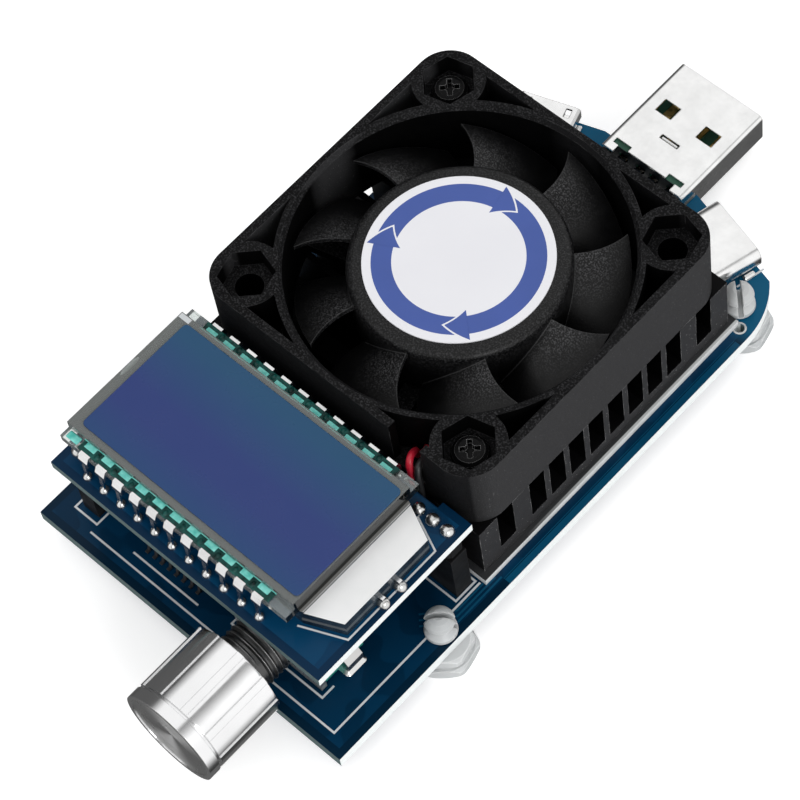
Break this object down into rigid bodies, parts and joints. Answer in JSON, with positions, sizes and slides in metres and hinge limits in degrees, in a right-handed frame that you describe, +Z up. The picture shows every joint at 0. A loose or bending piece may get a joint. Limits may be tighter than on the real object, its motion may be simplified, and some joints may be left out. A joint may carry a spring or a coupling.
{
  "type": "dc electronic load",
  "caption": "Palm-sized dc electronic load: finned heat sink with a small fan on a blue board, raised glass display, push encoder knob, USB plug and sockets, nylon feet.",
  "frame": {"origin": "middle of the bounding box at the level of the feet's undersides", "axes": "+X to the right of someone facing the knob, +Y back towards the USB plug, +Z up"},
  "size_m": [0.049, 0.0996, 0.0239],
  "materials": {
    "board_blue": "glossy blue solder mask on glass laminate",
    "pad_grey": "matte silicone",
    "black_anodised": "satin black anodised extrusion",
    "fan_black": "satin moulded black",
    "bronze": "sintered bronze",
    "motor_steel": "bare steel",
    "copper_wire": "enamelled copper",
    "motor_board_green": "glossy solder mask",
    "black_screw": "black oxide",
    "lead_red": "satin soft insulation",
    "lead_black": "satin soft insulation",
    "ferrite": "matte bonded ferrite",
    "label_white": "glossy film",
    "header_black": "satin black",
    "gold_contact": "gold flash",
    "light_guide": "clear milky acrylic",
    "tinned_pin": "bright tin",
    "lcd_glass": "polished glass with a green edge",
    "polarizer_blue": "semi-gloss film",
    "plated_steel": "bright nickel plate",
    "insulator_green": "satin moulding",
    "insulator_black": "satin moulding",
    "encoder_teal": "satin moulding",
    "bracket_steel": "plated sheet",
    "bushing_zinc": "dark plated zinc",
    "inner_black": "satin moulding",
    "turned_aluminium": "turned and clear anodised",
    "nylon": "translucent natural nylon",
    "chip_black": "moulded epoxy"
  },
  "bodies": {
    "base": {"main_board": "board_blue", "display_board": "board_blue", "thermal_pad": "pad_grey", "heat_sink": "black_anodised", "fan_frame": "fan_black", "fan_bearing": "bronze", "stator_core": "motor_steel", "stator_coils": "copper_wire", "motor_board": "motor_board_green", "fan_screws": "black_screw", "fan_lead_red": "lead_red", "fan_lead_black": "lead_black", "socket_left": "header_black", "socket_right": "header_black", "header_left": "header_black", "header_right": "header_black", "socket_contacts": "gold_contact", "header_pins": "gold_contact", "plug_contacts": "gold_contact", "backlight": "light_guide", "backlight_pins": "tinned_pin", "lcd_pins_front": "tinned_pin", "lcd_pins_rear": "tinned_pin", "encoder_pins": "tinned_pin", "lcd_rear_glass": "lcd_glass", "lcd_front_glass": "lcd_glass", "lcd_polarizer": "polarizer_blue", "plug_shell": "plated_steel", "usbc_shell": "plated_steel", "micro_usb_shell": "plated_steel", "plug_insulator": "insulator_green", "usbc_tongue": "insulator_black", "micro_usb_tongue": "insulator_black", "encoder_body": "encoder_teal", "encoder_bracket": "bracket_steel", "encoder_switch_dome": "bracket_steel", "encoder_bushing": "bushing_zinc", "foot_front_left": "nylon", "foot_front_right": "nylon", "foot_rear_left": "nylon", "foot_rear_right": "nylon", "microcontroller": "chip_black", "power_mosfets": "chip_black", "op_amp": "chip_black", "voltage_regulator": "chip_black", "shunt_resistors": "chip_black"},
    "fan_wheel": {"fan_rotor": "fan_black", "rotor_yoke": "motor_steel", "rotor_magnet": "ferrite", "rotor_spindle": "motor_steel", "hub_label": "label_white"},
    "encoder_wheel": {"encoder_wiper": "inner_black"},
    "knob": {"encoder_shaft": "turned_aluminium", "knob_shell": "turned_aluminium", "knob_core": "inner_black", "knob_disc": "turned_aluminium"}
  },
  "joints": [
    {"name": "fan_spin", "type": "hinge", "parent": "base", "child": "fan_wheel", "pos_m": [0, 0.00695, 0.0189], "axis": [0, 0, 1], "continuous": true},
    {"name": "knob_turn", "type": "hinge", "parent": "base", "child": "encoder_wheel", "pos_m": [0.0096, -0.03945, 0.0102], "axis": [0, -1, 0], "continuous": true},
    {"name": "knob_push", "type": "slide", "parent": "encoder_wheel", "child": "knob", "axis": [0, 1, 0], "range_m": [0, 0.0005], "stiffness_N_per_m": 2000}
  ]
}
